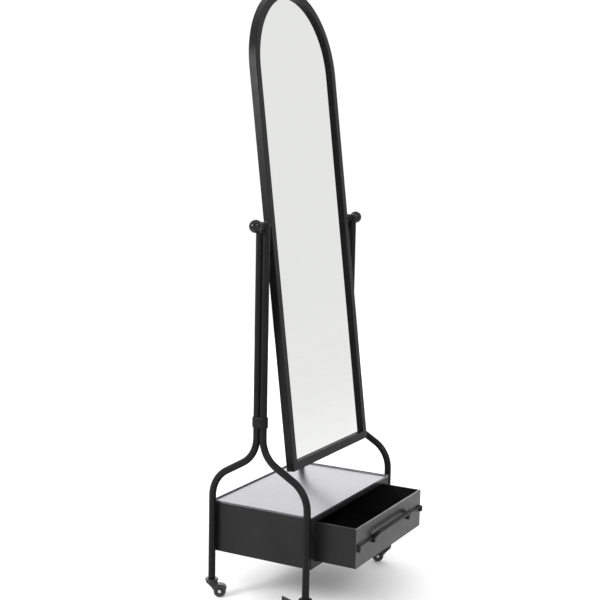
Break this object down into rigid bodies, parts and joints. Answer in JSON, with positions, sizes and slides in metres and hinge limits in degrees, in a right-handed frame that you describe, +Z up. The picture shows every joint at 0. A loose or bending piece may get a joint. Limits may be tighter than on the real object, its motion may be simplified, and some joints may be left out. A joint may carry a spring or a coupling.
{
  "type": "cheval floor mirror",
  "caption": "Tall arched floor mirror that tilts between twin-tube posts, over a sheet-steel drawer cabinet on swivel casters, all in black metal.",
  "frame": {"origin": "on the floor, at the middle of the outline of the object as it stands with its drawer partly open", "axes": "+Z up along the tall mirror, -Y towards the drawer's front, +X to the right as seen from the front"},
  "size_m": [0.634, 0.467, 1.6996],
  "materials": {
    "black_paint": "satin black powder coat",
    "gloss_black_paint": "smooth semi-gloss black paint",
    "gloss_knob": "polished black",
    "mirror": "silvered float glass",
    "backing_board": "dark fibreboard",
    "zinc_steel": "zinc-plated",
    "nylon": "black nylon",
    "buffer_rubber": "matt",
    "caster_black": "satin black",
    "wheel_plastic": "hard wheel plastic, lightly scuffed",
    "pedal_plastic": "moulded"
  },
  "bodies": {
    "stand": {"left_front_leg": "black_paint", "left_back_leg": "black_paint", "right_front_leg": "black_paint", "right_back_leg": "black_paint", "post_collars": "black_paint", "left_pivot_head": "black_paint", "right_pivot_head": "black_paint", "pivot_bushes": "nylon", "pivot_washers": "nylon", "cabinet_top": "gloss_black_paint", "cabinet_left_side": "black_paint", "cabinet_right_side": "black_paint", "cabinet_back": "black_paint", "cabinet_bottom": "black_paint", "cabinet_front_frame": "black_paint", "leg_spacers": "zinc_steel", "leg_inserts": "zinc_steel", "leg_screws": "zinc_steel", "left_drawer_rail": "zinc_steel", "right_drawer_rail": "zinc_steel", "drawer_buffers": "buffer_rubber", "caster_sockets": "caster_black"},
    "mirror": {"mirror_frame": "black_paint", "mirror_glass": "mirror", "mirror_backing": "backing_board", "pivot_blocks": "zinc_steel", "pivot_spacers": "black_paint", "backing_tabs": "zinc_steel"},
    "left_clamp": {"left_knob": "gloss_knob", "left_pivot_stud": "zinc_steel"},
    "right_clamp": {"right_knob": "gloss_knob", "right_pivot_stud": "zinc_steel"},
    "drawer": {"drawer_front": "black_paint", "drawer_left_side": "black_paint", "drawer_right_side": "black_paint", "drawer_back": "black_paint", "drawer_bottom": "black_paint", "drawer_slide_bars": "zinc_steel", "drawer_glide_pads": "nylon", "handle_rod": "black_paint", "handle_end_bosses": "black_paint", "handle_nuts": "zinc_steel", "handle_grip": "black_paint"},
    "front_left_swivel": {"front_left_fork": "caster_black", "front_left_axle": "zinc_steel"},
    "front_left_roller": {"front_left_wheel": "wheel_plastic"},
    "front_left_brake": {"front_left_brake_pedal": "pedal_plastic"},
    "front_right_swivel": {"front_right_fork": "caster_black", "front_right_axle": "zinc_steel"},
    "front_right_roller": {"front_right_wheel": "wheel_plastic"},
    "front_right_brake": {"front_right_brake_pedal": "pedal_plastic"},
    "back_left_swivel": {"back_left_fork": "caster_black", "back_left_axle": "zinc_steel"},
    "back_left_roller": {"back_left_wheel": "wheel_plastic"},
    "back_right_swivel": {"back_right_fork": "caster_black", "back_right_axle": "zinc_steel"},
    "back_right_roller": {"back_right_wheel": "wheel_plastic"}
  },
  "joints": [
    {"name": "mirror_tilt", "type": "hinge", "parent": "stand", "child": "mirror", "pos_m": [0, 0.065, 1.054], "axis": [1, 0, 0], "continuous": true},
    {"name": "left_knob_turn", "type": "hinge", "parent": "mirror", "child": "left_clamp", "pos_m": [-0.29, 0.065, 1.054], "axis": [-1, 0, 0], "range_deg": [0, 360]},
    {"name": "right_knob_turn", "type": "hinge", "parent": "mirror", "child": "right_clamp", "pos_m": [0.29, 0.065, 1.054], "axis": [1, 0, 0], "range_deg": [0, 360]},
    {"name": "drawer_slide", "type": "slide", "parent": "stand", "child": "drawer", "axis": [0, -1, 0], "range_m": [-0.1195, 0.086]},
    {"name": "front_left_swivel_turn", "type": "hinge", "parent": "stand", "child": "front_left_swivel", "pos_m": [-0.26, -0.085, 0.0445], "axis": [0, 0, 1], "continuous": true},
    {"name": "front_left_wheel_roll", "type": "hinge", "parent": "front_left_swivel", "child": "front_left_roller", "pos_m": [-0.2708, -0.06469, 0.0175], "axis": [-0.8829, -0.4695, 0], "continuous": true},
    {"name": "front_left_brake_press", "type": "hinge", "parent": "front_left_swivel", "child": "front_left_brake", "pos_m": [-0.27408, -0.05851, 0.0395], "axis": [-0.8829, -0.4695, 0], "range_deg": [0, 12]},
    {"name": "front_right_swivel_turn", "type": "hinge", "parent": "stand", "child": "front_right_swivel", "pos_m": [0.26, -0.085, 0.0445], "axis": [0, 0, 1], "continuous": true},
    {"name": "front_right_wheel_roll", "type": "hinge", "parent": "front_right_swivel", "child": "front_right_roller", "pos_m": [0.2492, -0.06469, 0.0175], "axis": [-0.8829, -0.4695, 0], "continuous": true},
    {"name": "front_right_brake_press", "type": "hinge", "parent": "front_right_swivel", "child": "front_right_brake", "pos_m": [0.24592, -0.05851, 0.0395], "axis": [-0.8829, -0.4695, 0], "range_deg": [0, 12]},
    {"name": "back_left_swivel_turn", "type": "hinge", "parent": "stand", "child": "back_left_swivel", "pos_m": [-0.26, 0.215, 0.0445], "axis": [0, 0, 1], "continuous": true},
    {"name": "back_left_wheel_roll", "type": "hinge", "parent": "back_left_swivel", "child": "back_left_roller", "pos_m": [-0.2492, 0.19469, 0.0175], "axis": [0.8829, 0.4695, 0], "continuous": true},
    {"name": "back_right_swivel_turn", "type": "hinge", "parent": "stand", "child": "back_right_swivel", "pos_m": [0.26, 0.215, 0.0445], "axis": [0, 0, 1], "continuous": true},
    {"name": "back_right_wheel_roll", "type": "hinge", "parent": "back_right_swivel", "child": "back_right_roller", "pos_m": [0.26478, 0.1925, 0.0175], "axis": [0.9781, 0.2079, 0], "continuous": true}
  ]
}
